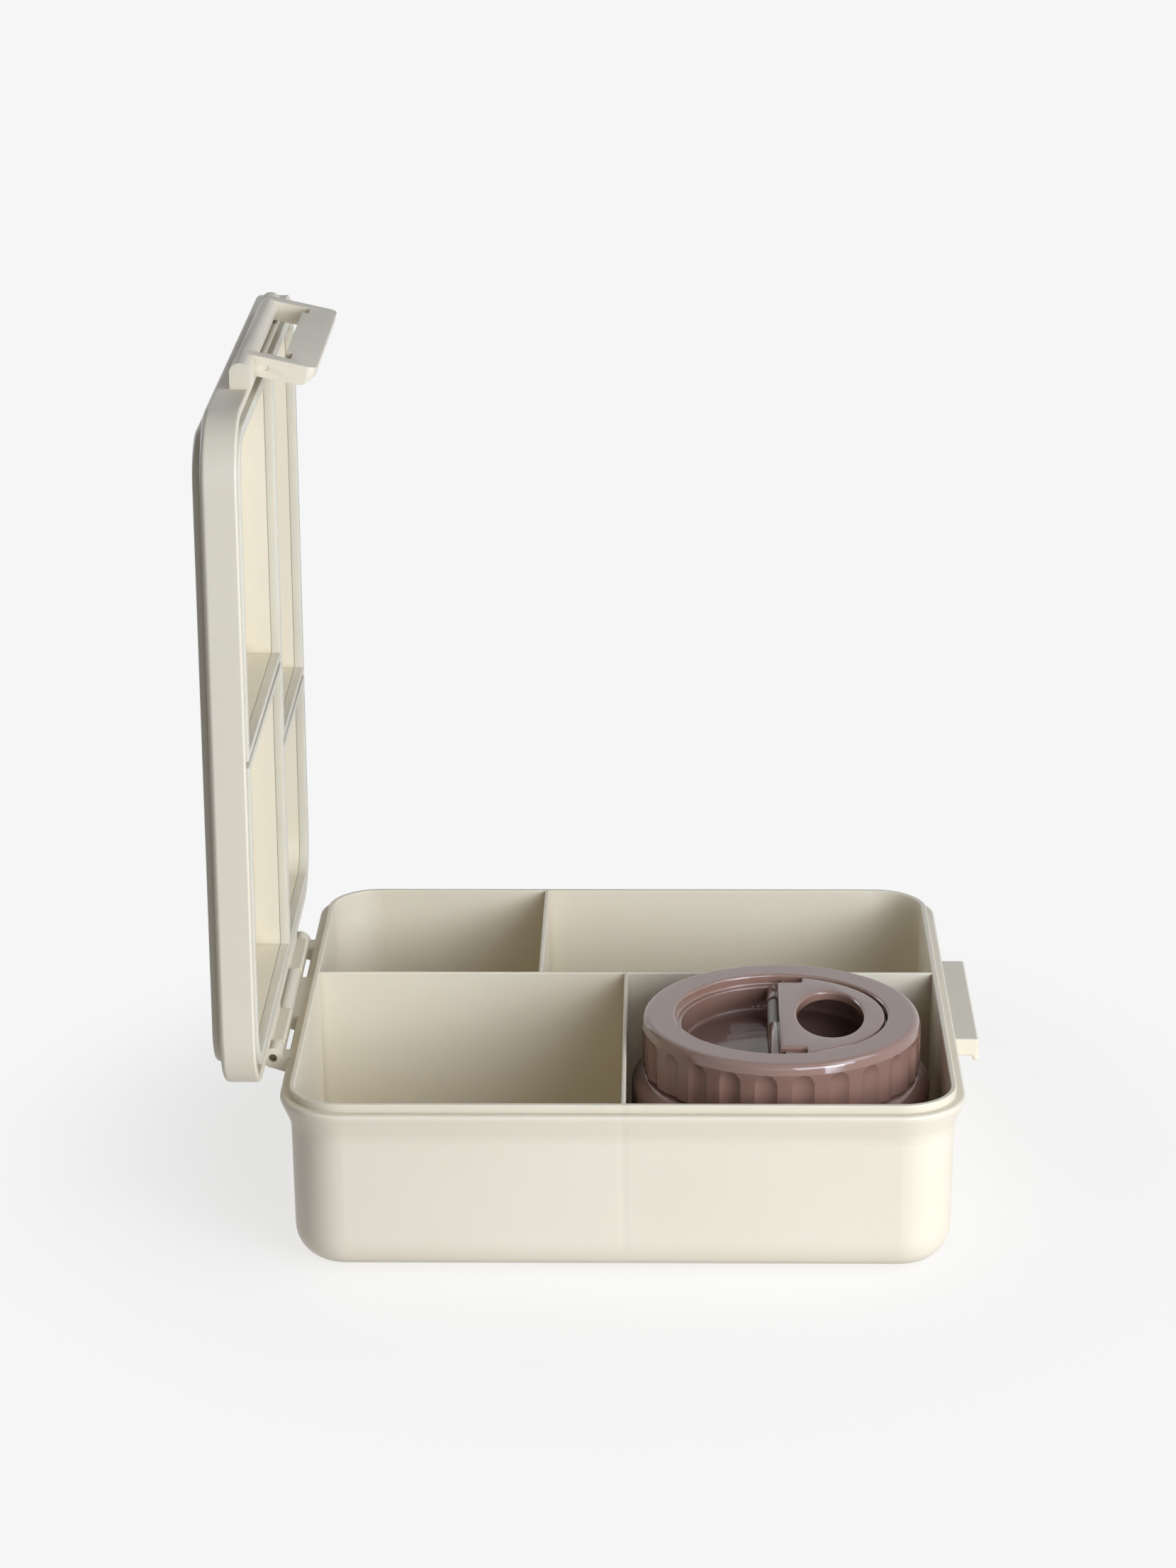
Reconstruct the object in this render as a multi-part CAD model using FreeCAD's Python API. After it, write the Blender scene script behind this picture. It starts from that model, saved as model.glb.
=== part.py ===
import FreeCAD, Part
import math
import os

os.makedirs("parts", exist_ok=True)
Vec = FreeCAD.Vector

# Lunch box, millimetres. X runs from the hinge side to the latch side, Y from front to back, Z up.
# The origin is the middle of the tub's underside. The lid stands open.

# Outline shared by the tub's flange and the lid's skirt
box_x = 210.0
box_y = 197.0
corner_r = 20.0

# Tub
flange_top = 54.2
flange_edge = 1.6
flare_rise = 7.5
flare_in = 3.2
flare_r = 9.0
flange_round = 1.0
flange_under_r = 2.5
draft_in = 0.6
wall_t = 1.4
floor_t = 1.8
bottom_r = 11.0
ledge = 2.8
lip_rise = 2.5
divider_t = 1.3
cross_divider_y = 15.75
front_divider_x = 0.35
back_divider_x = -27.75
rim_round = 0.45

# Latch tab on the tub
tab_out = 7.2
tab_len = 69.4
tab_drop = 0.5
tab_t = 5.7
hook_drop = 1.6
hook_w = 1.8
tab_corner_r = 0.75
tab_edge_r = 0.8
hook_r = 0.7

# Hinge
hinge_out = 4.64
hinge_drop = 0.27
knuckle_r = 3.3
knuckle_corner_r = 0.9
middle_knuckle = 34.6
lid_knuckle = 27.1
end_knuckle = 6.9
knuckle_gap = 0.4
gusset_drop = 2.6
pin_r = 1.3
pin_recess = 1.4
press_gap = 0.02
running_gap = 0.08

# Lid, described closed
lid_gap = 0.25
skirt_h = 10.7
skirt_t = 2.4
plateau_in = 6.3
plateau_rise = 2.9
lid_t = 2.0
lid_round = 1.6
skirt_rim_r = 0.7
lid_open = 90.0

# Seal under the lid and the double ribs that hold it
seal_w = 6.0
seal_reach = 4.5
seal_hang = 0.45
seal_root = 2.5
seal_side_gap = 0.3
seal_lip_gap = 0.7
seal_top_gap = 0.2
rib_t = 1.2
rib_gap = 0.3

# Latch
latch_out = 4.8
latch_rise = 2.8
latch_r = 3.0
arm_t = 5.5
arm_in = 3.1
window_gap = 1.5
catch_t = 3.0
catch_rise = 2.0
catch_inset = 7.5
snap = 0.4
bar_w = 8.3
bar_corner_r = 3.0
arm_end_r = 5.4
arm_edge_r = 0.6
latch_tilt = 12.6
near_ear_t = 13.5
far_ear_t = 5.0
ear_r = 3.1
ear_round = 3.0
ear_gap = 0.4
latch_pin_r = 1.1
ear_blind = 2.0
latch_pin_recess = 1.0
dimple_r = 0.9
dimple_depth = 0.3

# Food jar, which stands a little towards the divider
jar_side_gap = 2.7
jar_shift = 1.1
jar_gap = 0.1
jar_base_r = 9.0
jar_shoulder_r = 5.0
jar_shoulder_drop = 7.9
jar_wall = 1.8
neck_wall = 2.2
neck_h = 9.5
neck_round = 0.5
liner_wall = 0.6
liner_gap = 0.15
liner_floor_gap = 4.0
liner_base_r = 8.0
liner_lip_t = 0.7
liner_lip_r = 0.3

# Cap of the food jar
cap_h = 17.5
cap_in = 3.25
cap_skirt_gap = 0.7
cap_wall = 2.3
thread_room = 2.05
cap_skin = 1.6
cap_round = 2.0
cap_band_in = 0.7
well_step = 2.0
ledge_depth = 3.3
well_depth = 11.0
well_round = 0.9
well_floor_r = 1.5
ledge_r = 0.5
cap_edge_r = 0.5
flute_count = 24
flute_w = 7.4
flute_depth = 1.1
flute_start = 3.4
plate_wall = 1.2
plate_gap = 0.6
plate_floor_gap = 0.6
plate_side_gap = 1.75
plate_rim_in = 0.8
plate_base_r = 1.5
seal_ring_h = 1.8
seal_ring_r = 0.5
seal_gap = 0.1

# Folding handle of the cap
handle_t = 2.8
handle_gap = 0.7
handle_seat = 0.2
handle_edge = 0.8
handle_notch_x = 8.0
handle_notch_y = 5.2
handle_notch_r = 1.5
handle_round = 1.0
shelf_start = 1.5
shelf_t = 1.3
hole_x = 15.3
hole_half_x = 10.4
hole_half_y = 19.2
barrel_r = 2.1
far_barrel = 6.5
barrel_x = 1.9
barrel_drop = 1.6
barrel_web_rise = 1.89
boss_gap = 0.4
handle_pin_r = 0.9
handle_pin_in = 6.0

# Vent plug in the cap's well, between the handle's barrels
vent_r = 1.85
vent_start = 0.4
vent_near_gap = 0.8
vent_far_gap = 1.3
vent_stem_r = 1.5

# Levels and places that follow from the sizes above
half_x = box_x / 2
half_y = box_y / 2
lip_inset = flare_in + wall_t
lip_top = flange_top + lip_rise
skirt_end = flange_top + lid_gap
shoulder_z = skirt_end + skirt_h
lid_top = shoulder_z + plateau_rise
lid_skin = lid_top - lid_t
rib_end = lip_top + rib_gap
seal_tip = skirt_end - seal_hang
seal_inset = lip_inset + seal_reach
rib_inset = seal_inset - rib_t
hinge_x = -half_x - hinge_out
hinge_z = flange_top - hinge_drop
lid_knuckle_start = middle_knuckle / 2 + knuckle_gap
lid_knuckle_stop = lid_knuckle_start + lid_knuckle
end_knuckle_start = lid_knuckle_stop + knuckle_gap
hinge_half = end_knuckle_start + end_knuckle
latch_x = half_x + latch_out
latch_z = flange_top + latch_rise
window_half = tab_len / 2 + window_gap
flap_half = window_half + arm_t
barrel_half = flap_half
ear_start = barrel_half + ear_gap
latch_pin_near = ear_start + near_ear_t - ear_blind
latch_pin_far = ear_start + far_ear_t - latch_pin_recess
tab_top = flange_top - tab_drop
tab_under = tab_top - tab_t
hook_end = tab_under - hook_drop
tilt = math.radians(latch_tilt)
jar_x = (front_divider_x + divider_t / 2 + half_x - lip_inset) / 2 - jar_shift
jar_y = (cross_divider_y - divider_t / 2 - half_y + lip_inset) / 2
jar_z = floor_t + jar_gap
jar_r = (half_x - lip_inset - front_divider_x - divider_t / 2) / 2 - jar_side_gap
jar_shoulder_z = flange_top - jar_shoulder_drop
neck_top = jar_shoulder_z + neck_h
cap_r = jar_r - cap_in
cap_skirt_end = jar_shoulder_z + cap_skirt_gap
cap_top = cap_skirt_end + cap_h
neck_r = cap_r - cap_wall - thread_room
liner_r = neck_r - neck_wall - liner_gap
liner_top = neck_top + liner_lip_t
ring_top = liner_top + seal_gap + seal_ring_h
ledge_z = cap_top - ledge_depth
well_floor = cap_top - well_depth
plate_r = liner_r - liner_wall - plate_side_gap - plate_wall
plate_rim = neck_r - plate_rim_in
inner_well_r = plate_r - plate_gap - cap_skin
well_r = inner_well_r + well_step
handle_r = well_r - handle_gap
handle_base = ledge_z + handle_seat
axis_x = jar_x - barrel_x
axis_z = ledge_z - barrel_drop
barrel_end = handle_r - handle_notch_y
boss_start = barrel_end + boss_gap
handle_pin_start = barrel_end - handle_pin_in
handle_pin_stop = inner_well_r + cap_skin
near_barrel = barrel_end + vent_start - vent_near_gap
vent_len = barrel_end - far_barrel - vent_far_gap - vent_start
vent_y = jar_y + vent_start
vent_stem = (axis_x, vent_y + vent_len / 2)


def arc(centre, radius, start, stop):
    """Arc about +Z, angles in degrees."""
    return Part.makeCircle(radius, centre, Vec(0, 0, 1), start, stop)


def outline(inset, z):
    """Rounded outline of the box, set in by inset, at height z."""
    cx = half_x - corner_r
    cy = half_y - corner_r
    r = corner_r - inset
    corners = [(cx, cy, 0), (-cx, cy, 90), (-cx, -cy, 180), (cx, -cy, 270)]
    arcs = [arc(Vec(x, y, z), r, a, a + 90) for x, y, a in corners]
    edges = []
    for here, after in zip(arcs, arcs[1:] + arcs[:1]):
        edges.append(here)
        edges.append(Part.makeLine(here.lastVertex(True).Point, after.firstVertex(True).Point))
    return Part.Wire(edges)


def stack(*sections):
    """Solid through outlines given as inset and height pairs."""
    return Part.makeLoft([outline(inset, z) for inset, z in sections], True, True)


def block(x0, x1, y0, y1, z0, z1):
    return Part.makeBox(x1 - x0, y1 - y0, z1 - z0, Vec(x0, y0, z0))


def rod(radius, y0, y1, x, z):
    """Cylinder along Y."""
    return Part.makeCylinder(radius, y1 - y0, Vec(x, y0, z), Vec(0, 1, 0))


def level_edges(shape, z):
    """Edges that lie at height z."""
    return [e for e in shape.Edges if abs(e.BoundBox.ZMin - z) < 1e-4 and abs(e.BoundBox.ZMax - z) < 1e-4]


def profile(points, plane):
    """Closed face from corners (u, v) or (u, v, radius), each set in space by plane(u, v)."""
    flat = [(Vec(p[0], p[1], 0), p[2] if len(p) > 2 else 0.0) for p in points]
    edges = []
    ends = []
    count = len(flat)
    for i in range(count):
        here, radius = flat[i]
        if not radius:
            ends.append((here, here, None))
            continue
        to_last = (flat[i - 1][0] - here).normalize()
        to_next = (flat[(i + 1) % count][0] - here).normalize()
        half = to_last.getAngle(to_next) / 2
        run = radius / math.tan(half)
        towards = (to_last + to_next).normalize()
        middle = here + towards * (radius / math.sin(half) - radius)
        ends.append((here + to_last * run, here + to_next * run, middle))
    for i in range(count):
        start, stop, middle = ends[i]
        if middle is not None:
            places = [plane(p.x, p.y) for p in (start, middle, stop)]
            edges.append(Part.Arc(*places).toShape())
        after = ends[(i + 1) % count][0]
        if (after - stop).Length > 1e-7:
            edges.append(Part.makeLine(plane(stop.x, stop.y), plane(after.x, after.y)))
    return Part.Face(Part.Wire(edges))


def side_plate(points, y0, y1):
    """Profile in X and Z, pushed along Y from y0 to y1."""
    face = profile(points, lambda u, v: Vec(u, y0, v))
    return face.extrude(Vec(0, y1 - y0, 0))


def turned(points):
    """Profile in radius and height, turned about the jar's axis."""
    face = profile(points, lambda u, v: Vec(jar_x + u, jar_y, v))
    return face.revolve(Vec(jar_x, jar_y, 0), Vec(0, 0, 1), 360)


def jar_ends(radius, start, stop):
    """Two rods on the handle's axis, from start to stop on both sides of the jar's middle."""
    near = rod(radius, jar_y - stop, jar_y - start, axis_x, axis_z)
    far = rod(radius, jar_y + start, jar_y + stop, axis_x, axis_z)
    return [near, far]


def both_sides(shape):
    """The shape and its mirror image across the middle of the box."""
    return [shape, shape.mirror(Vec(0, 0, 0), Vec(0, 1, 0))]


def raise_lid(shape):
    """Turn a closed lid piece about the hinge to where the open lid stands."""
    opened = shape.copy()
    opened.rotate(Vec(hinge_x, 0, hinge_z), Vec(0, 1, 0), -lid_open)
    return opened


def divider_bands(width, end_inset, z0, z1):
    """Straight bands of one width along the three divider lines."""
    side = width / 2
    reach_x = half_x - end_inset
    reach_y = half_y - end_inset
    cross = block(-reach_x, reach_x, cross_divider_y - side, cross_divider_y + side, z0, z1)
    front = block(front_divider_x - side, front_divider_x + side, -reach_y, cross_divider_y, z0, z1)
    back = block(back_divider_x - side, back_divider_x + side, cross_divider_y, reach_y, z0, z1)
    return [cross, front, back]


def rim_ring(outer_inset, inner_inset, z0, z1):
    outer = stack((outer_inset, z0), (outer_inset, z1))
    return outer.cut(stack((inner_inset, z0), (inner_inset, z1)))


def tub_cells():
    """The four compartments, with the dividers left standing between them."""
    slope = draft_in / (flange_top - flange_edge - flare_rise)
    bottom_inset = lip_inset + slope * (lip_top - floor_t)
    cavity = stack((bottom_inset, floor_t), (lip_inset, lip_top))
    cavity = cavity.makeFillet(bottom_r - wall_t, level_edges(cavity, floor_t))
    return cavity.cut(divider_bands(divider_t, 0.0, 0.0, lip_top))


def tub_knuckles():
    """Round base knuckles with a web to the flange and a gusset below."""
    root_x = -half_x + flare_in
    web = [
        (hinge_x, flange_top),
        (root_x, flange_top),
        (root_x, hinge_z - knuckle_r - gusset_drop),
        (hinge_x - knuckle_r / 2, hinge_z - knuckle_r * math.sqrt(0.75)),
    ]
    spans = [
        (-hinge_half, -end_knuckle_start),
        (-middle_knuckle / 2, middle_knuckle / 2),
        (end_knuckle_start, hinge_half),
    ]
    pieces = []
    for y0, y1 in spans:
        pieces.append(rod(knuckle_r, y0, y1, hinge_x, hinge_z))
        pieces.append(side_plate(web, y0, y1))
    return pieces


def latch_tab():
    """Flat tab with a hook along its outer lower edge."""
    root_x = half_x - flare_in
    out_x = half_x + tab_out
    shape = [
        (root_x, tab_top),
        (out_x, tab_top, tab_edge_r),
        (out_x, hook_end, hook_r),
        (out_x - hook_w, hook_end, hook_r),
        (out_x - hook_w, tab_under, tab_edge_r),
        (root_x, tab_under),
    ]
    tab = side_plate(shape, -tab_len / 2, tab_len / 2)
    outer = [e for e in tab.Edges if abs(e.BoundBox.XMin - out_x) < 1e-4]
    corners = [e for e in outer if e.BoundBox.ZLength > tab_t / 2 and e.BoundBox.YLength < 1e-4]
    return tab.makeFillet(tab_corner_r, corners)


def base_tub():
    flange_low = flange_top - flange_edge
    flare_low = flange_low - flare_rise
    outer = stack((flare_in + draft_in, 0), (flare_in, flare_low), (0, flange_low), (0, flange_top))
    outer = outer.makeFillet(bottom_r, level_edges(outer, 0))
    outer = outer.makeFillet(flare_r, level_edges(outer, flare_low))
    outer = outer.makeFillet(flange_under_r, level_edges(outer, flange_low))
    outer = outer.makeFillet(flange_round, level_edges(outer, flange_top))
    lip = stack((ledge, flange_top), (ledge, lip_top))
    tub = outer.fuse([lip, latch_tab()] + tub_knuckles())
    tub = tub.cut(tub_cells()).removeSplitter()
    tub = tub.makeFillet(rim_round, level_edges(tub, lip_top))
    tub = tub.cut(rod(pin_r + press_gap, -half_y, half_y, hinge_x, hinge_z))
    return tub.removeSplitter()


def hinge_pin():
    reach = hinge_half - pin_recess
    return rod(pin_r, -reach, reach, hinge_x, hinge_z)


def lid_ribs():
    """Double ribs: thin walls on both sides of the channel that takes the seal's root."""
    band = rim_ring(skirt_t, seal_inset, rib_end, lid_skin)
    band = band.fuse(divider_bands(seal_w, rib_inset - rib_t, rib_end, lid_skin))
    channel = rim_ring(skirt_t, rib_inset, rib_end, lid_skin)
    channel = channel.fuse(divider_bands(seal_w - 2 * rib_t, rib_inset - rib_t, rib_end, lid_skin))
    return band.cut(channel)


def lid_knuckles():
    """Lid knuckles, squared towards the box and round elsewhere, on a web from the skirt."""
    inner_x = hinge_x + knuckle_r
    root_x = -half_x + skirt_t / 2
    square = [
        (hinge_x, hinge_z),
        (inner_x, hinge_z),
        (inner_x, hinge_z - knuckle_r, knuckle_corner_r),
        (hinge_x, hinge_z - knuckle_r),
    ]
    web = [
        (hinge_x, skirt_end),
        (root_x, skirt_end),
        (root_x, hinge_z + knuckle_r + gusset_drop),
        (hinge_x - knuckle_r / 2, hinge_z + knuckle_r * math.sqrt(0.75)),
    ]
    pieces = []
    for y0, y1 in [(lid_knuckle_start, lid_knuckle_stop), (-lid_knuckle_stop, -lid_knuckle_start)]:
        pieces.append(rod(knuckle_r, y0, y1, hinge_x, hinge_z))
        pieces.append(side_plate(square, y0, y1))
        pieces.append(block(hinge_x, inner_x, y0, y1, hinge_z, skirt_end))
        pieces.append(side_plate(web, y0, y1))
    return pieces


def latch_ears():
    """Two upright ears at the latch end, round at the top. The near one is thicker."""
    root_x = half_x - skirt_t / 2
    step_x = half_x + lid_gap
    tip_x = latch_x + ear_r
    shape = [
        (root_x, skirt_end),
        (step_x, skirt_end),
        (step_x, latch_z - ear_r),
        (tip_x, latch_z - ear_r, ear_round),
        (tip_x, latch_z + ear_r, ear_round),
        (root_x, latch_z + ear_r),
    ]
    near = side_plate(shape, -ear_start - near_ear_t, -ear_start)
    far = side_plate(shape, ear_start, ear_start + far_ear_t)
    return [near, far]


def lid_shell():
    skirt = stack((0, skirt_end), (0, shoulder_z))
    skirt = skirt.makeFillet(lid_round, level_edges(skirt, shoulder_z))
    plateau = stack((plateau_in, skirt_end), (plateau_in, lid_top))
    plateau = plateau.makeFillet(lid_round, level_edges(plateau, lid_top))
    hollow = stack((skirt_t, skirt_end), (skirt_t, shoulder_z - lid_t))
    deep = stack((plateau_in + lid_t, skirt_end), (plateau_in + lid_t, lid_skin))
    shell = skirt.fuse(plateau).cut(hollow).cut(deep).removeSplitter()
    shell = shell.makeFillet(skirt_rim_r, level_edges(shell, skirt_end))
    shell = shell.fuse([lid_ribs()] + lid_knuckles() + latch_ears())
    shell = shell.cut(rod(pin_r + running_gap, -half_y, half_y, hinge_x, hinge_z))
    shell = shell.cut(rod(latch_pin_r + press_gap, -latch_pin_near, half_y, latch_x, latch_z))
    return raise_lid(shell.removeSplitter())


def lid_seal():
    """Silicone web: a root in the rib channel and two lips that straddle the rim and the dividers."""
    roof = lip_top + seal_top_gap
    root_top = rib_end + seal_root
    root = rim_ring(skirt_t, rib_inset, roof, root_top)
    root = root.fuse(divider_bands(seal_w - 2 * rib_t, rib_inset - rib_t, roof, root_top))
    head = rim_ring(lip_inset + seal_lip_gap, seal_inset, seal_tip, rib_end)
    head = head.fuse(divider_bands(seal_w, rib_inset - rib_t, seal_tip, rib_end))
    slot = divider_t + 2 * seal_side_gap
    head = head.cut(divider_bands(slot, 0.0, seal_tip, roof))
    return raise_lid(root.fuse(head).removeSplitter())


def latch_to_place(shape):
    """From the latch's own frame, pivot at the origin and bar below, to the open lid."""
    placed = shape.copy()
    placed.rotate(Vec(0, 0, 0), Vec(0, 1, 0), latch_tilt)
    placed.translate(Vec(latch_x, 0, latch_z))
    return raise_lid(placed)


def latch_flap():
    """Frame that hangs from the pivot, with a catch bar that goes under the tab's hook."""
    catch_level = (hook_end + snap - latch_z - latch_r * math.sin(tilt)) / math.cos(tilt)
    bar_top = catch_level - catch_rise
    bar_end = bar_top - bar_w
    arm = [
        (-arm_in, 0),
        (latch_r, 0),
        (latch_r, bar_end, arm_edge_r),
        (-arm_in, bar_end, arm_end_r),
    ]
    frame = side_plate(arm, -flap_half, flap_half)
    inside = block(-latch_r * 2, latch_r * 2, -window_half, window_half, bar_end - bar_w, latch_r)
    frame = frame.cut(inside)
    bar = block(latch_r - catch_t, latch_r, -flap_half, flap_half, bar_end, bar_top)
    catch_half = window_half - catch_inset
    catch = block(latch_r - catch_t, latch_r, -catch_half, catch_half, bar_top - catch_rise, catch_level)
    flap = frame.fuse([bar, catch, rod(latch_r, -barrel_half, barrel_half, 0, 0)]).removeSplitter()
    round_y = flap_half - bar_corner_r
    round_z = bar_end + bar_corner_r
    corner = block(-latch_r * 2, latch_r * 2, round_y, flap_half, bar_end, round_z)
    keep = Part.makeCylinder(bar_corner_r, latch_r * 4, Vec(-latch_r * 2, round_y, round_z), Vec(1, 0, 0))
    flap = flap.cut(both_sides(corner.cut(keep)))
    dimple_z = bar_top / 2
    flap = flap.cut(rod(dimple_r, -flap_half, -flap_half + dimple_depth, 0, dimple_z))
    flap = flap.cut(rod(latch_pin_r + running_gap, -half_y, half_y, 0, 0))
    return latch_to_place(flap)


def latch_pin():
    return raise_lid(rod(latch_pin_r, -latch_pin_near, latch_pin_far, latch_x, latch_z))


def jar_shell():
    inner_r = jar_r - jar_wall
    neck_inner = neck_r - neck_wall
    shell = turned([
        (0, jar_z),
        (jar_r, jar_z, jar_base_r),
        (jar_r, jar_shoulder_z, jar_shoulder_r),
        (neck_r, jar_shoulder_z, neck_round),
        (neck_r, neck_top, neck_round),
        (neck_inner, neck_top),
        (neck_inner, jar_shoulder_z - jar_wall),
        (inner_r, jar_shoulder_z - jar_wall, jar_shoulder_r - jar_wall),
        (inner_r, jar_z + jar_wall, jar_base_r - jar_wall),
        (0, jar_z + jar_wall),
    ])
    return shell


def jar_liner():
    """Steel bowl hung by its lip from the jar's neck."""
    base = jar_z + jar_wall + liner_floor_gap
    inner = liner_r - liner_wall
    return turned([
        (0, base),
        (liner_r, base, liner_base_r),
        (liner_r, neck_top),
        (neck_r - liner_gap, neck_top),
        (neck_r - liner_gap, liner_top),
        (inner, liner_top, liner_lip_r),
        (inner, base + liner_wall, liner_base_r - liner_wall),
        (0, base + liner_wall),
    ])


def cap_flutes():
    """Upright scallops round the cap, with a domed top end."""
    cutter_r = ((flute_w / 2) ** 2 + flute_depth**2) / (2 * flute_depth)
    dome_z = cap_top - flute_start - flute_w / 2
    far = cap_r - flute_depth + cutter_r
    cutters = []
    for i in range(flute_count):
        angle = 2 * math.pi * (i + 0.5) / flute_count
        x = jar_x + far * math.cos(angle)
        y = jar_y + far * math.sin(angle)
        column = Part.makeCylinder(cutter_r, dome_z - cap_skirt_end, Vec(x, y, cap_skirt_end))
        cutters.append(column.fuse(Part.makeSphere(cutter_r, Vec(x, y, dome_z))))
    return cutters


def cap_shell():
    bore_r = cap_r - cap_wall
    cap = turned([
        (0, well_floor),
        (inner_well_r, well_floor, well_floor_r),
        (inner_well_r, ledge_z, ledge_r),
        (well_r, ledge_z, ledge_r),
        (well_r, cap_top, well_round),
        (cap_r - cap_band_in, cap_top, cap_round),
        (cap_r, cap_top - flute_start),
        (cap_r, cap_skirt_end, cap_edge_r),
        (bore_r, cap_skirt_end),
        (bore_r, cap_top - cap_skin),
        (well_r + cap_skin, cap_top - cap_skin),
        (well_r + cap_skin, ledge_z - cap_skin),
        (inner_well_r + cap_skin, ledge_z - cap_skin),
        (inner_well_r + cap_skin, well_floor - cap_skin),
        (0, well_floor - cap_skin),
    ])
    cap = cap.cut(cap_flutes())
    cap = cap.fuse(jar_ends(barrel_r, boss_start, inner_well_r))
    cap = cap.cut(jar_ends(handle_pin_r + press_gap, 0.0, handle_pin_stop))
    hole = Part.makeCylinder(vent_stem_r, cap_skin, Vec(*vent_stem, well_floor - cap_skin))
    return cap.cut(hole).removeSplitter()


def cap_inner_plate():
    """Lower half of the cap: a cup under the well, with a rim over the seal ring."""
    floor = well_floor - cap_skin - plate_floor_gap
    outer = plate_r + plate_wall
    rim_top = ledge_z - cap_skin
    return turned([
        (0, floor - plate_wall),
        (outer, floor - plate_wall, plate_base_r),
        (outer, ring_top),
        (plate_rim, ring_top),
        (plate_rim, rim_top),
        (plate_r, rim_top),
        (plate_r, floor),
        (0, floor),
    ])


def cap_seal_ring():
    inner = plate_r + plate_wall
    return turned([
        (inner, liner_top + seal_gap),
        (plate_rim, liner_top + seal_gap, seal_ring_r),
        (plate_rim, ring_top),
        (inner, ring_top),
    ])


def cap_handle():
    """D-shaped plate with a finger hole, on two barrels under its straight edge."""
    top = handle_base + handle_t
    edge_x = jar_x - handle_edge
    disc = Part.makeCylinder(handle_r, handle_t, Vec(jar_x, jar_y, handle_base))
    left = block(jar_x - cap_r, edge_x, jar_y - cap_r, jar_y + cap_r, handle_base, top)
    plate = disc.cut(left)
    shelf_top = handle_base + shelf_t
    notch_x = edge_x + handle_notch_x
    for side in (-1, 1):
        y0 = jar_y + side * barrel_end
        y1 = jar_y + side * cap_r
        low, high = min(y0, y1), max(y0, y1)
        notch = block(edge_x, notch_x, low, high, shelf_top, top)
        inner = [
            e
            for e in notch.Edges
            if e.BoundBox.ZLength > handle_t / 4
            and abs(e.BoundBox.XMin - notch_x) < 1e-4
            and abs(e.BoundBox.YMin - y0) < 1e-4
        ]
        plate = plate.cut(notch.makeFillet(handle_notch_r, inner))
        plate = plate.cut(block(edge_x, edge_x + shelf_start, low, high, handle_base, top))
    oval = Part.Ellipse(Vec(0, 0, 0), hole_half_y, hole_half_x).toShape()
    oval.rotate(Vec(0, 0, 0), Vec(0, 0, 1), 90)
    oval.translate(Vec(jar_x + hole_x, jar_y, handle_base))
    plate = plate.cut(Part.Face(Part.Wire([oval])).extrude(Vec(0, 0, handle_t)))
    plate = plate.makeFillet(handle_round, level_edges(plate, top))
    web = [
        (axis_x, axis_z + barrel_web_rise),
        (axis_x, axis_z),
        (axis_x + barrel_r, axis_z),
        (edge_x + 2 * barrel_r, handle_base),
        (edge_x + 2 * barrel_r, handle_base + handle_t / 2),
        (edge_x, handle_base + handle_t / 2),
        (edge_x, axis_z + barrel_web_rise),
    ]
    pieces = []
    for start, stop in [(-barrel_end, near_barrel - barrel_end), (barrel_end - far_barrel, barrel_end)]:
        pieces.append(rod(barrel_r, jar_y + start, jar_y + stop, axis_x, axis_z))
        pieces.append(side_plate(web, jar_y + start, jar_y + stop))
    handle = plate.fuse(pieces)
    bore_start = handle_pin_start - running_gap
    return handle.cut(jar_ends(handle_pin_r + running_gap, bore_start, barrel_end)).removeSplitter()


def handle_pins():
    return Part.Compound(jar_ends(handle_pin_r, handle_pin_start, handle_pin_stop))


def vent_plug():
    """Upright silicone piece with a round top, on a stem through the well's floor."""
    head = rod(vent_r, vent_y, vent_y + vent_len, axis_x, axis_z)
    body = block(axis_x - vent_r, axis_x + vent_r, vent_y, vent_y + vent_len, well_floor, axis_z)
    stem = Part.makeCylinder(vent_stem_r, cap_skin, Vec(*vent_stem, well_floor - cap_skin))
    return body.fuse([head, stem]).removeSplitter()


pieces = {
    "base_tub": base_tub,
    "hinge_pin": hinge_pin,
    "lid_shell": lid_shell,
    "lid_seal": lid_seal,
    "latch_flap": latch_flap,
    "latch_pin": latch_pin,
    "jar_shell": jar_shell,
    "jar_liner": jar_liner,
    "cap_shell": cap_shell,
    "cap_inner_plate": cap_inner_plate,
    "cap_seal_ring": cap_seal_ring,
    "cap_handle": cap_handle,
    "handle_pins": handle_pins,
    "vent_plug": vent_plug,
}

for name, make in pieces.items():
    shape = make()
    solids = shape.Solids
    print(name, "valid", shape.isValid(), "solids", len(solids), "volume", round(shape.Volume, 1))
    if len(solids) == 1:
        shape = solids[0]
    shape.exportStep(f"parts/{name}.step")
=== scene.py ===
"""Lunch box with a food jar: finishes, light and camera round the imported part."""
import math

import bmesh
import bpy
from mathutils import Matrix, Vector


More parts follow.
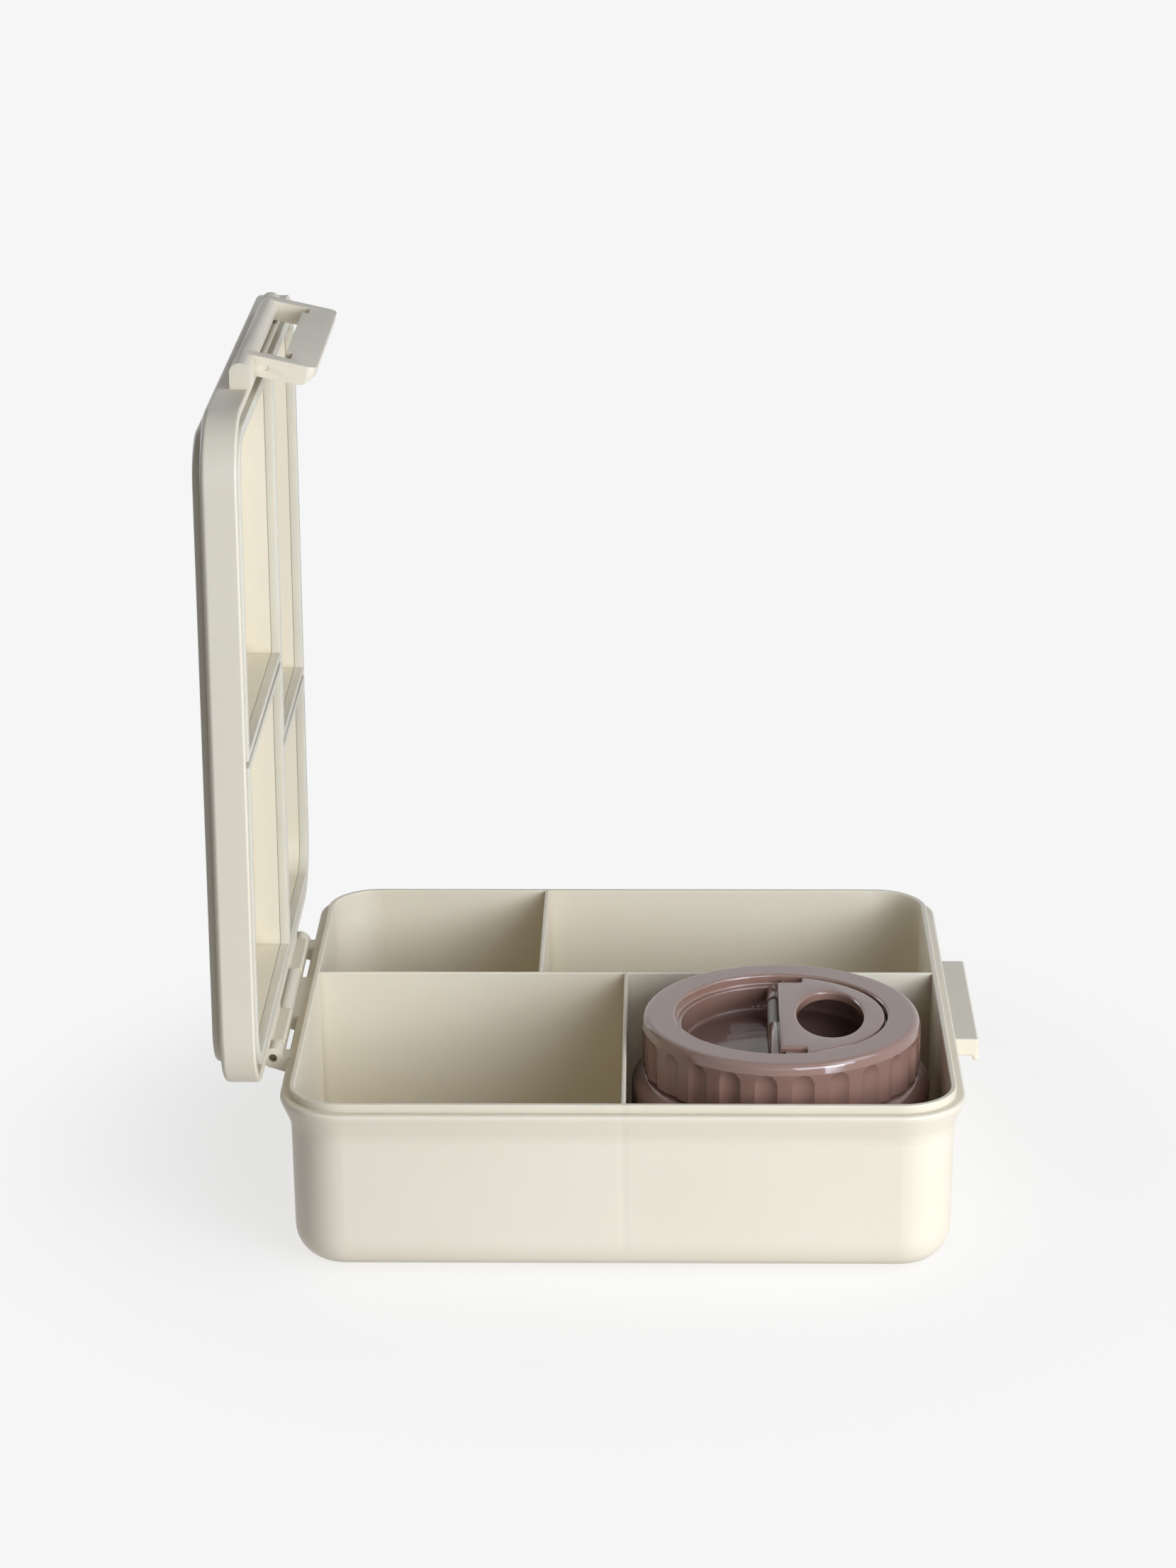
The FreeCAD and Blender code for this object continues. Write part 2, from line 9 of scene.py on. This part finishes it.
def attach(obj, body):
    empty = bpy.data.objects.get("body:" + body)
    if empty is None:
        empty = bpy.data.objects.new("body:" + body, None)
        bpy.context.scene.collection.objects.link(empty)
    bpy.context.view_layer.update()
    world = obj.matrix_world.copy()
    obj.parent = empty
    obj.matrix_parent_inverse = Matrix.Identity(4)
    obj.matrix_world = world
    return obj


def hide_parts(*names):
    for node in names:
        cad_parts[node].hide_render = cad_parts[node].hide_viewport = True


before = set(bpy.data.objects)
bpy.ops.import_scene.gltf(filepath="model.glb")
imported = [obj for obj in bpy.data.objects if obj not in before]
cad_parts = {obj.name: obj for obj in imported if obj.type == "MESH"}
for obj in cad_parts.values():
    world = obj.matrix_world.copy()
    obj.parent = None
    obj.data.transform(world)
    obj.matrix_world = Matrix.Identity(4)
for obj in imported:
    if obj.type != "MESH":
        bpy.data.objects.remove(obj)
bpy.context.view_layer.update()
scene = bpy.context.scene
MM = 0.001

# Dividers, which leave faint sink lines on the tub's outer walls
front_divider_x = 0.35 * MM
back_divider_x = -27.75 * MM
cross_divider_y = 15.75 * MM
wall_zone = 94.0 * MM
sink_half_width = 2.4 * MM
sink_depth = 0.08 * MM

# Cream plastic: colours are linear, and scales of noise are in features per metre
cream = (0.775, 0.70, 0.54)
cream_warm = (0.755, 0.675, 0.51)
cream_cloud_scale = 14.0
cream_gloss_scale = 70.0
cream_dull = (0.36, 0.46)
cream_wave_scale = 26.0
cream_wave = 0.05 * MM
cream_grain_scale = 2400.0
cream_grain = 0.006 * MM
cream_ior = 1.49
cream_glow = 0.12
cream_glow_colour = (1.0, 0.72, 0.45)
cream_glow_depth = 1.6 * MM

# Painted shade: the cream's base colour takes a little warm shade in creases, this far from the next
# surface
crease_painted_shade = (0.40, 0.34, 0.24)
crease_reach = 5.0 * MM
crease_share = 0.5
crease_closed = 0.15
crease_open = 0.75
crease_rays = 8

# Mauve plastic of the jar
mauve = (0.29, 0.165, 0.122)
mauve_deep = (0.255, 0.143, 0.106)
mauve_flow_scale = 32.0
mauve_flow_stretch = (1.0, 1.0, 0.35)
mauve_gloss_scale = 150.0
mauve_dull = (0.05, 0.11)
mauve_ripple_scale = 60.0
mauve_ripple = 0.03 * MM
mauve_ior = 1.55
mauve_specular = 0.5
mauve_coat = 0.3
mauve_coat_dull = 0.05

# Painted shade in the round well of the cap: a darker base colour, with less specular and coat, than
# the rest of the jar
well_painted_shade = (0.17, 0.096, 0.07)
well_specular = 0.25
well_coat = 0.05
well_x = 49.6 * MM
well_y = -39.4 * MM
well_radius = 31.5 * MM
well_low = 56.0 * MM
well_high = 62.5 * MM

# Silicone of the lid's seal, the vent plug and the ring in the cap
silicone_clear = (0.69, 0.64, 0.505)
silicone_milky = (0.65, 0.605, 0.48)
silicone_ior = 1.41
seal_cloud_scale = 45.0
seal_gloss_scale = 220.0
seal_dull = (0.42, 0.56)
seal_grain_scale = 900.0
seal_glow = 0.3
seal_glow_colour = (1.0, 1.0, 1.0)
seal_glow_depth = 2.0 * MM
vent_grey = (0.50, 0.515, 0.465)
vent_dull_grey = (0.43, 0.44, 0.40)
vent_cloud_scale = 160.0
vent_gloss_scale = 300.0
vent_dull = (0.45, 0.6)
vent_grain_scale = 1500.0
silicone_grain = 0.01 * MM

# Steel of the liner and the pins: a small stretch runs the drawing marks along that axis
steel = (0.42, 0.41, 0.40)
steel_dark = (0.30, 0.29, 0.28)
liner_stretch = (0.3, 0.3, 1.0)
pin_brown = (0.15, 0.115, 0.08)
pin_dark = (0.10, 0.075, 0.05)
pin_stretch = (1.0, 0.05, 1.0)
mark_scale = 900.0
mark_depth = 0.006 * MM
steel_dull = (0.24, 0.42)

# Softened copies: the merging distance, what counts as flat and as sharp, and the roundings
weld = 0.001 * MM
flat_angle = math.radians(0.4)
sharp_angle = math.radians(32.0)
edge_steps = 3
latch_edge = 0.7 * MM
seal_edge = 0.35 * MM
handle_edge = 0.4 * MM
vent_edge = 0.5 * MM

# Camera
eye_place = (12.90 * MM, -1243.61 * MM, 543.95 * MM)
eye_pitch = math.radians(18.53)
eye_yaw = math.radians(-1.126)
eye_roll = math.radians(-0.314)
sensor_width = 36.0
focal_length = 94.46
sight_near = 0.05
sight_far = 100.0

# Paper of the floor and dome: its even tone, the shade it takes and the light it throws up
paper = (0.9216, 0.9216, 0.9216)
floor_radius = 14.0
dome_radius = 13.9
floor_glow = 0.70
floor_shade = (0.315, 0.30, 0.265)
shade_centre = (0.0, 0.0, 0.0)
shade_near = 0.11
shade_far = 0.23
bounce_centre = (0.12, -0.22, 0.0)
bounce_near = 0.12
bounce_far = 0.55
bounce_strength = 0.68
bounce_colour = (0.985, 0.985, 1.03)

# Lamps: place and size in metres, power in watts
lamp_white = (0.922, 1.0, 1.17)
lamp_aim = (0.0, 0.0, 0.10)
air_strength = 0.02
key_place = (0.70, -0.98, 0.48)
key_size = (1.10, 0.55)
key_power = 11.0
strip_place = (0.86, -0.95, 0.27)
strip_size = (0.36, 0.45)
strip_power = 5.0
side_place = (1.0, -0.35, 1.0)
side_size = (0.8, 0.8)
side_power = 5.0
back_place = (-1.2, 0.9, 0.45)
back_size = (0.8, 0.8)
back_power = 5.0
front_place = (-0.1, -1.7, 0.6)
front_size = (1.2, 0.9)
front_power = 2.2


class Finish:
    """One procedural material, with helpers that add its grain, tint and relief."""

    def __init__(self, name, **values):
        self.material = bpy.data.materials.new(name)
        self.material.use_nodes = True
        self.nodes = self.material.node_tree.nodes
        self.links = self.material.node_tree.links
        self.surface = self.nodes["Principled BSDF"]
        self.place = self.nodes.new("ShaderNodeTexCoord").outputs["Object"]
        self.colour = None
        self.normal = None
        for socket, value in values.items():
            self.surface.inputs[socket.replace("_", " ")].default_value = value

    def link(self, source, target):
        self.links.new(source, target)

    def grain(self, scale, detail=3.0, stretch=None):
        """Noise in object space: scale is in features per metre."""
        noise = self.nodes.new("ShaderNodeTexNoise")
        noise.inputs["Scale"].default_value = scale
        noise.inputs["Detail"].default_value = detail
        source = self.place
        if stretch:
            mapping = self.nodes.new("ShaderNodeMapping")
            mapping.inputs["Scale"].default_value = stretch
            self.link(source, mapping.inputs["Vector"])
            source = mapping.outputs["Vector"]
        self.link(source, noise.inputs["Vector"])
        return noise.outputs["Fac"]

    def spread(self, factor, low, high, start=0.3, stop=0.7):
        """A factor between start and stop, the usual span of noise, spread from low to high."""
        span = self.nodes.new("ShaderNodeMapRange")
        span.inputs["From Min"].default_value = start
        span.inputs["From Max"].default_value = stop
        span.inputs["To Min"].default_value = low
        span.inputs["To Max"].default_value = high
        self.link(factor, span.inputs["Value"])
        return span.outputs["Result"]

    def tint(self, noise, first, second):
        """Base colour that wanders between two tones."""
        mix = self.nodes.new("ShaderNodeMix")
        mix.data_type = "RGBA"
        mix.inputs["A"].default_value = (*first, 1)
        mix.inputs["B"].default_value = (*second, 1)
        self.link(self.spread(noise, 0.0, 1.0), mix.inputs["Factor"])
        self.link(mix.outputs["Result"], self.surface.inputs["Base Color"])
        self.colour = mix.outputs["Result"]

    def shade(self, factor, tone):
        """Painted shade: the base colour goes towards another tone."""
        mix = self.nodes.new("ShaderNodeMix")
        mix.data_type = "RGBA"
        mix.inputs["B"].default_value = (*tone, 1)
        self.link(factor, mix.inputs["Factor"])
        self.link(self.colour, mix.inputs["A"])
        self.link(mix.outputs["Result"], self.surface.inputs["Base Color"])
        self.colour = mix.outputs["Result"]

    def paint_crease_shade(self, tone, reach, share):
        """Painted shade: the base colour deepens where surfaces meet, found by ambient occlusion."""
        near = self.nodes.new("ShaderNodeAmbientOcclusion")
        near.samples = crease_rays
        near.inputs["Distance"].default_value = reach
        self.shade(self.spread(near.outputs["AO"], share, 0.0, crease_closed, crease_open), tone)

    def gloss(self, noise, dull):
        """Roughness that wanders between two values."""
        self.link(self.spread(noise, *dull), self.surface.inputs["Roughness"])

    def math(self, operation, first, second=None):
        """A sum on sockets or plain numbers."""
        node = self.nodes.new("ShaderNodeMath")
        node.operation = operation
        for socket, value in zip(node.inputs, (first, second)):
            if value is None:
                continue
            if isinstance(value, (int, float)):
                socket.default_value = value
            else:
                self.link(value, socket)
        return node.outputs["Value"]

    def relief(self, height, depth):
        """Bump of a real depth in metres, on top of what is there already."""
        bump = self.nodes.new("ShaderNodeBump")
        bump.inputs["Distance"].default_value = depth
        bump.inputs["Strength"].default_value = 1.0
        self.link(height, bump.inputs["Height"])
        if self.normal:
            self.link(self.normal, bump.inputs["Normal"])
        self.normal = bump.outputs["Normal"]
        self.link(self.normal, self.surface.inputs["Normal"])

    def apart(self):
        """The x, y and z of a point on the piece."""
        split = self.nodes.new("ShaderNodeSeparateXYZ")
        self.link(self.place, split.inputs["Vector"])
        return split.outputs

    def sink_line(self, across, centre, zone, sign):
        """Height of a faint line where a divider meets the outer wall on one side."""
        away = self.math("ABSOLUTE", self.math("SUBTRACT", across, centre))
        line = self.nodes.new("ShaderNodeMapRange")
        line.interpolation_type = "SMOOTHERSTEP"
        line.inputs["From Max"].default_value = sink_half_width
        line.inputs["To Min"].default_value = 1.0
        line.inputs["To Max"].default_value = 0.0
        self.link(away, line.inputs["Value"])
        on_wall = self.math("GREATER_THAN", self.math("MULTIPLY", zone, sign), wall_zone)
        return self.math("MULTIPLY", line.outputs["Result"], on_wall)


def moulded_cream(name):
    """Satin food-box plastic: soft warm cream, a fine spark-eroded grain and slightly wavy walls."""
    finish = Finish(
        name,
        Subsurface_Weight=cream_glow,
        Subsurface_Radius=cream_glow_colour,
        Subsurface_Scale=cream_glow_depth,
        IOR=cream_ior,
    )
    finish.tint(finish.grain(cream_cloud_scale, 2.0), cream, cream_warm)
    # Painted shade in the creases
    finish.paint_crease_shade(crease_painted_shade, crease_reach, crease_share)
    finish.gloss(finish.grain(cream_gloss_scale, 4.0), cream_dull)
    finish.relief(finish.grain(cream_wave_scale, 1.0), cream_wave)
    finish.relief(finish.grain(cream_grain_scale, 2.0), cream_grain)
    return finish


def tub_cream():
    """The cream plastic with the dividers' sink lines."""
    finish = moulded_cream("tub_cream_plastic")
    x, y, _ = finish.apart()
    lines = [
        finish.sink_line(x, front_divider_x, y, -1.0),
        finish.sink_line(x, back_divider_x, y, 1.0),
        finish.sink_line(y, cross_divider_y, x, -1.0),
        finish.sink_line(y, cross_divider_y, x, 1.0),
    ]
    height = lines[0]
    for line in lines[1:]:
        height = finish.math("ADD", height, line)
    finish.relief(finish.math("MULTIPLY", height, -1.0), sink_depth)
    return finish.material


def glossy_mauve(name):
    """Polished jar plastic: deep mauve with a faint flow in the colour and a soft ripple."""
    finish = Finish(name, IOR=mauve_ior, Coat_Weight=mauve_coat, Coat_Roughness=mauve_coat_dull)
    finish.tint(finish.grain(mauve_flow_scale, stretch=mauve_flow_stretch), mauve, mauve_deep)
    finish.gloss(finish.grain(mauve_gloss_scale), mauve_dull)
    finish.relief(finish.grain(mauve_ripple_scale, 1.0), mauve_ripple)
    return finish


def cap_mauve():
    """The jar's plastic, with painted shade down in the cap's well: a darker base colour and less
    specular and coat.
    """
    finish = glossy_mauve("cap_mauve_plastic")
    x, y, z = finish.apart()
    away_x = finish.math("SUBTRACT", x, well_x)
    away_y = finish.math("SUBTRACT", y, well_y)
    square = finish.math("ADD", finish.math("POWER", away_x, 2.0), finish.math("POWER", away_y, 2.0))
    within = finish.math("LESS_THAN", square, well_radius ** 2)
    well_shade_mask = finish.math("MULTIPLY", within, finish.spread(z, 1.0, 0.0, well_low, well_high))
    # Painted shade: the base colour goes dark down in the well, and specular and coat drop there
    finish.shade(well_shade_mask, well_painted_shade)
    specular = finish.spread(well_shade_mask, mauve_specular, well_specular, 0.0, 1.0)
    finish.link(specular, finish.surface.inputs["Specular IOR Level"])
    coat = finish.spread(well_shade_mask, mauve_coat, well_coat, 0.0, 1.0)
    finish.link(coat, finish.surface.inputs["Coat Weight"])
    return finish.material


def seal_silicone():
    """Translucent silicone: milky depth and a dull skin."""
    finish = Finish(
        "seal_silicone",
        Subsurface_Weight=seal_glow,
        Subsurface_Radius=seal_glow_colour,
        Subsurface_Scale=seal_glow_depth,
        IOR=silicone_ior,
    )
    finish.tint(finish.grain(seal_cloud_scale, 2.0), silicone_clear, silicone_milky)
    finish.gloss(finish.grain(seal_gloss_scale), seal_dull)
    finish.relief(finish.grain(seal_grain_scale, 2.0), silicone_grain)
    return finish.material


def vent_silicone():
    """Greyer silicone with a dry skin."""
    finish = Finish("vent_silicone", IOR=silicone_ior)
    finish.tint(finish.grain(vent_cloud_scale, 2.0), vent_grey, vent_dull_grey)
    finish.gloss(finish.grain(vent_gloss_scale), vent_dull)
    finish.relief(finish.grain(vent_grain_scale, 2.0), silicone_grain)
    return finish.material


def drawn_steel(name, stretch, light, dark):
    """Steel with fine drawing marks along one axis."""
    finish = Finish(name, Metallic=1.0)
    marks = finish.grain(mark_scale, 4.0, stretch)
    finish.tint(marks, light, dark)
    finish.gloss(marks, steel_dull)
    finish.relief(marks, mark_depth)
    return finish.material


def dress(names, material):
    """Give CAD nodes a finish."""
    for name in names:
        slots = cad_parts[name].data.materials
        slots.clear()
        slots.append(material)


def softened(node, name, body, material, width):
    """A copy of a CAD node with its sharp edges rounded off, which stands for the node."""
    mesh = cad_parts[node].data.copy()
    mesh.name = name
    work = bmesh.new()
    work.from_mesh(mesh)
    bmesh.ops.remove_doubles(work, verts=work.verts, dist=weld)
    bmesh.ops.dissolve_limit(work, angle_limit=flat_angle, verts=work.verts, edges=work.edges)
    work.to_mesh(mesh)
    work.free()
    mesh.materials.clear()
    mesh.materials.append(material)
    mesh.shade_smooth()
    piece = bpy.data.objects.new(name, mesh)
    scene.collection.objects.link(piece)
    bevel = piece.modifiers.new("soft_edges", "BEVEL")
    bevel.width = width
    bevel.segments = edge_steps
    bevel.limit_method = "ANGLE"
    bevel.angle_limit = sharp_angle
    bevel.harden_normals = True
    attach(piece, body)
    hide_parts(node)


def camera():
    """Camera where the photograph was taken from."""
    flat = math.cos(eye_pitch)
    ahead = Vector((math.sin(eye_yaw) * flat, math.cos(eye_yaw) * flat, -math.sin(eye_pitch)))
    level = Vector((math.cos(eye_yaw), -math.sin(eye_yaw), 0.0))
    rise = level.cross(ahead)
    right = level * math.cos(eye_roll) + rise * math.sin(eye_roll)
    up = rise * math.cos(eye_roll) - level * math.sin(eye_roll)
    data = bpy.data.cameras.new("camera")
    data.sensor_width = sensor_width
    data.lens = focal_length
    data.clip_start = sight_near
    data.clip_end = sight_far
    eye = bpy.data.objects.new("camera", data)
    turn = Matrix((right, up, -ahead)).transposed().to_4x4()
    eye.matrix_world = Matrix.Translation(eye_place) @ turn
    scene.collection.objects.link(eye)
    scene.camera = eye


def softbox(name, place, size, power):
    """A soft lamp that lights the part and stays out of sight."""
    data = bpy.data.lights.new(name, "AREA")
    data.shape = "RECTANGLE"
    data.size, data.size_y = size
    data.energy = power
    data.color = lamp_white
    lamp = bpy.data.objects.new(name, data)
    lamp.location = place
    lamp.rotation_mode = "QUATERNION"
    lamp.rotation_quaternion = (Vector(lamp_aim) - Vector(place)).to_track_quat("-Z", "Y")
    lamp.visible_camera = False
    scene.collection.objects.link(lamp)


def away_from(nodes, links, centre, near, far, high, low):
    """A number that goes from high within near metres of a place to low past far metres."""
    place = nodes.new("ShaderNodeTexCoord")
    away = nodes.new("ShaderNodeVectorMath")
    away.operation = "DISTANCE"
    away.inputs[1].default_value = centre
    fade = nodes.new("ShaderNodeMapRange")
    fade.interpolation_type = "SMOOTHSTEP"
    fade.inputs["From Min"].default_value = near
    fade.inputs["From Max"].default_value = far
    fade.inputs["To Min"].default_value = high
    fade.inputs["To Max"].default_value = low
    links.new(place.outputs["Object"], away.inputs[0])
    links.new(away.outputs["Value"], fade.inputs["Value"])
    return fade.outputs["Result"]


def glowing(nodes, colour):
    """A node that gives off one colour."""
    glow = nodes.new("ShaderNodeEmission")
    glow.inputs["Color"].default_value = (*colour, 1)
    return glow


def dome_paper():
    """Paper of one even tone."""
    material = bpy.data.materials.new("dome_paper")
    material.use_nodes = True
    nodes = material.node_tree.nodes
    even = glowing(nodes, paper)
    material.node_tree.links.new(even.outputs["Emission"], nodes["Material Output"].inputs["Surface"])
    return material


def floor_paper():
    """Even pale paper that takes a faint shade near the part and throws light up where it is lit."""
    material = bpy.data.materials.new("floor_paper")
    material.use_nodes = True
    nodes = material.node_tree.nodes
    links = material.node_tree.links
    surface = nodes["Principled BSDF"]
    surface.inputs["Base Color"].default_value = (*floor_shade, 1)
    surface.inputs["Roughness"].default_value = 1.0
    surface.inputs["Specular IOR Level"].default_value = 0.0
    surface.inputs["Emission Color"].default_value = (floor_glow, floor_glow, floor_glow, 1)
    surface.inputs["Emission Strength"].default_value = 1.0
    even = glowing(nodes, paper)
    seen = nodes.new("ShaderNodeMixShader")
    plain = away_from(nodes, links, shade_centre, shade_near, shade_far, 0.0, 1.0)
    links.new(plain, seen.inputs["Fac"])
    links.new(surface.outputs["BSDF"], seen.inputs[1])
    links.new(even.outputs["Emission"], seen.inputs[2])
    bounce = glowing(nodes, bounce_colour)
    lit = away_from(nodes, links, bounce_centre, bounce_near, bounce_far, bounce_strength, 0.0)
    links.new(lit, bounce.inputs["Strength"])
    path = nodes.new("ShaderNodeLightPath")
    both = nodes.new("ShaderNodeMixShader")
    links.new(path.outputs["Is Diffuse Ray"], both.inputs["Fac"])
    links.new(seen.outputs["Shader"], both.inputs[1])
    links.new(bounce.outputs["Emission"], both.inputs[2])
    links.new(both.outputs["Shader"], nodes["Material Output"].inputs["Surface"])
    return material


def stage():
    """A pale floor that throws light up on the part, and a pale dome that is only seen."""
    bpy.ops.mesh.primitive_circle_add(vertices=96, radius=floor_radius, fill_type="NGON")
    floor = bpy.context.object
    floor.name = "floor"
    floor.data.materials.append(floor_paper())
    bpy.ops.mesh.primitive_uv_sphere_add(segments=64, ring_count=32, radius=dome_radius)
    dome = bpy.context.object
    dome.name = "dome"
    dome.data.materials.append(dome_paper())
    dome.visible_shadow = False
    dome.visible_diffuse = False


def lighting():
    """A faint even light all round and five soft lamps."""
    world = bpy.data.worlds.new("studio")
    world.use_nodes = True
    air = world.node_tree.nodes["Background"]
    air.inputs["Color"].default_value = (*lamp_white, 1)
    air.inputs["Strength"].default_value = air_strength
    scene.world = world
    softbox("key_light", key_place, key_size, key_power)
    softbox("strip_light", strip_place, strip_size, strip_power)
    softbox("side_light", side_place, side_size, side_power)
    softbox("back_light", back_place, back_size, back_power)
    softbox("front_light", front_place, front_size, front_power)
    scene.view_settings.view_transform = "Standard"
    scene.view_settings.look = "None"


lid_cream = moulded_cream("lid_cream_plastic").material
jar_mauve = glossy_mauve("jar_mauve_plastic").material
vent_rubber = vent_silicone()
dress(["base_tub"], tub_cream())
dress(["lid_shell"], lid_cream)
dress(["jar_shell", "cap_inner_plate"], jar_mauve)
dress(["cap_shell"], cap_mauve())
dress(["cap_seal_ring"], vent_rubber)
softened("latch_flap", "soft_latch_flap", "latch", lid_cream, latch_edge)
softened("lid_seal", "soft_lid_seal", "lid", seal_silicone(), seal_edge)
softened("cap_handle", "soft_cap_handle", "handle", jar_mauve, handle_edge)
softened("vent_plug", "soft_vent_plug", "cap", vent_rubber, vent_edge)
pin_steel = drawn_steel("pin_steel", pin_stretch, pin_brown, pin_dark)
dress(["hinge_pin", "latch_pin", "handle_pins"], pin_steel)
dress(["jar_liner"], drawn_steel("liner_steel", liner_stretch, steel, steel_dark))

camera()
stage()
lighting()
